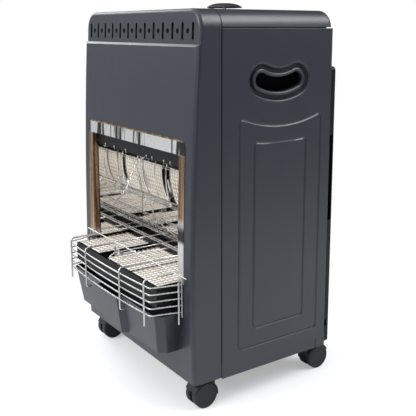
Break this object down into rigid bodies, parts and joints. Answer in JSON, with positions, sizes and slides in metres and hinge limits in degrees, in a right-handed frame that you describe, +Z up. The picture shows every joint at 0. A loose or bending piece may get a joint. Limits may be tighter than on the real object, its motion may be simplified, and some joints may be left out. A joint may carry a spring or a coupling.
{
  "type": "mobile cabinet gas heater",
  "caption": "Wheeled sheet-steel gas cabinet heater with ceramic plaque burners behind a wire guard basket, hand holes and a lift-off rear cover over the cylinder bay.",
  "frame": {"origin": "middle of the overall box at floor level, under the wheels", "axes": "+Z up, -Y the front with the burner, +X the side with the valve and the knob, as seen from the front"},
  "size_m": [0.4424, 0.4356, 0.7425],
  "materials": {
    "cabinet_paint": "satin",
    "black_enamel": "satin",
    "polished_steel": "polished",
    "mirror_steel": "polished",
    "bright_wire": "polished",
    "mesh_steel": "satin",
    "galvanised_steel": "satin",
    "cast_alloy": "satin",
    "brass": "satin",
    "ceramic": "matte",
    "black_plastic": "satin",
    "wheel_rubber": "matte",
    "red_plastic": "gloss"
  },
  "bodies": {
    "cabinet": {"base_tray": "cabinet_paint", "bulkhead": "galvanised_steel", "burner_box_left": "black_enamel", "burner_box_middle": "black_enamel", "burner_box_right": "black_enamel", "burner_housing": "cabinet_paint", "burner_tray": "black_enamel", "caster_plates": "galvanised_steel", "caster_screws": "galvanised_steel", "centre_stay": "bright_wire", "ceramic_plaque_left": "ceramic", "ceramic_plaque_middle": "ceramic", "ceramic_plaque_right": "ceramic", "control_bezel": "black_plastic", "front_shell": "cabinet_paint", "gas_inlet_nozzle": "brass", "gas_manifold": "galvanised_steel", "gas_valve": "cast_alloy", "guard_basket": "bright_wire", "guard_hanger": "bright_wire", "heat_baffle": "black_enamel", "igniter_body": "black_plastic", "injectors": "brass", "marker_pip": "red_plastic", "opening_trim": "polished_steel", "pilot_burner": "galvanised_steel", "plaque_mesh_left": "mesh_steel", "plaque_mesh_middle": "mesh_steel", "plaque_mesh_right": "mesh_steel", "reflector": "mirror_steel", "reflector_cheek_left": "mirror_steel", "reflector_cheek_right": "mirror_steel", "side_panel_left": "cabinet_paint", "side_panel_right": "cabinet_paint", "spark_electrode": "ceramic", "supply_tube": "galvanised_steel", "thermocouple": "galvanised_steel", "top_cover": "cabinet_paint", "valve_bracket": "galvanised_steel"},
    "valve_plunger": {"valve_plunger": "brass"},
    "control_knob": {"control_knob": "black_plastic", "valve_stem": "brass"},
    "igniter_button": {"igniter_button": "brass"},
    "rear_cover": {"rear_cover": "black_enamel", "rear_cover_studs": "black_plastic"},
    "caster_front_left": {"caster_hood_front_left": "black_plastic", "caster_axle_front_left": "galvanised_steel"},
    "wheels_front_left": {"caster_wheels_front_left": "wheel_rubber"},
    "caster_front_right": {"caster_hood_front_right": "black_plastic", "caster_axle_front_right": "galvanised_steel"},
    "wheels_front_right": {"caster_wheels_front_right": "wheel_rubber"},
    "caster_rear_left": {"caster_hood_rear_left": "black_plastic", "caster_axle_rear_left": "galvanised_steel"},
    "wheels_rear_left": {"caster_wheels_rear_left": "wheel_rubber"},
    "caster_rear_right": {"caster_hood_rear_right": "black_plastic", "caster_axle_rear_right": "galvanised_steel"},
    "wheels_rear_right": {"caster_wheels_rear_right": "wheel_rubber"}
  },
  "joints": [
    {"name": "plunger_press", "type": "slide", "parent": "cabinet", "child": "valve_plunger", "axis": [0, 0, -1], "range_m": [0, 0.0025], "stiffness_N_per_m": 1500},
    {"name": "knob_turn", "type": "hinge", "parent": "valve_plunger", "child": "control_knob", "pos_m": [0.118, -0.0058, 0.734], "axis": [0, 0, 1], "range_deg": [0, 180]},
    {"name": "igniter_press", "type": "slide", "parent": "cabinet", "child": "igniter_button", "axis": [0, 0, -1], "range_m": [0, 0.0035], "stiffness_N_per_m": 900},
    {"name": "rear_cover_lift_off", "type": "slide", "parent": "cabinet", "child": "rear_cover", "axis": [0, 1, 0], "range_m": [0, 0.15]},
    {"name": "swivel_front_left", "type": "hinge", "parent": "cabinet", "child": "caster_front_left", "pos_m": [-0.1885, -0.0878, 0.06], "axis": [0, 0, 1], "continuous": true},
    {"name": "roll_front_left", "type": "hinge", "parent": "caster_front_left", "child": "wheels_front_left", "pos_m": [-0.1885, -0.1078, 0.025], "axis": [1, 0, 0], "continuous": true},
    {"name": "swivel_front_right", "type": "hinge", "parent": "cabinet", "child": "caster_front_right", "pos_m": [0.1885, -0.0878, 0.06], "axis": [0, 0, 1], "continuous": true},
    {"name": "roll_front_right", "type": "hinge", "parent": "caster_front_right", "child": "wheels_front_right", "pos_m": [0.1885, -0.1078, 0.025], "axis": [1, 0, 0], "continuous": true},
    {"name": "swivel_rear_left", "type": "hinge", "parent": "cabinet", "child": "caster_rear_left", "pos_m": [-0.1885, 0.1532, 0.06], "axis": [0, 0, 1], "continuous": true},
    {"name": "roll_rear_left", "type": "hinge", "parent": "caster_rear_left", "child": "wheels_rear_left", "pos_m": [-0.1885, 0.1732, 0.025], "axis": [1, 0, 0], "continuous": true},
    {"name": "swivel_rear_right", "type": "hinge", "parent": "cabinet", "child": "caster_rear_right", "pos_m": [0.1885, 0.1532, 0.06], "axis": [0, 0, 1], "continuous": true},
    {"name": "roll_rear_right", "type": "hinge", "parent": "caster_rear_right", "child": "wheels_rear_right", "pos_m": [0.1885, 0.1732, 0.025], "axis": [1, 0, 0], "continuous": true}
  ]
}
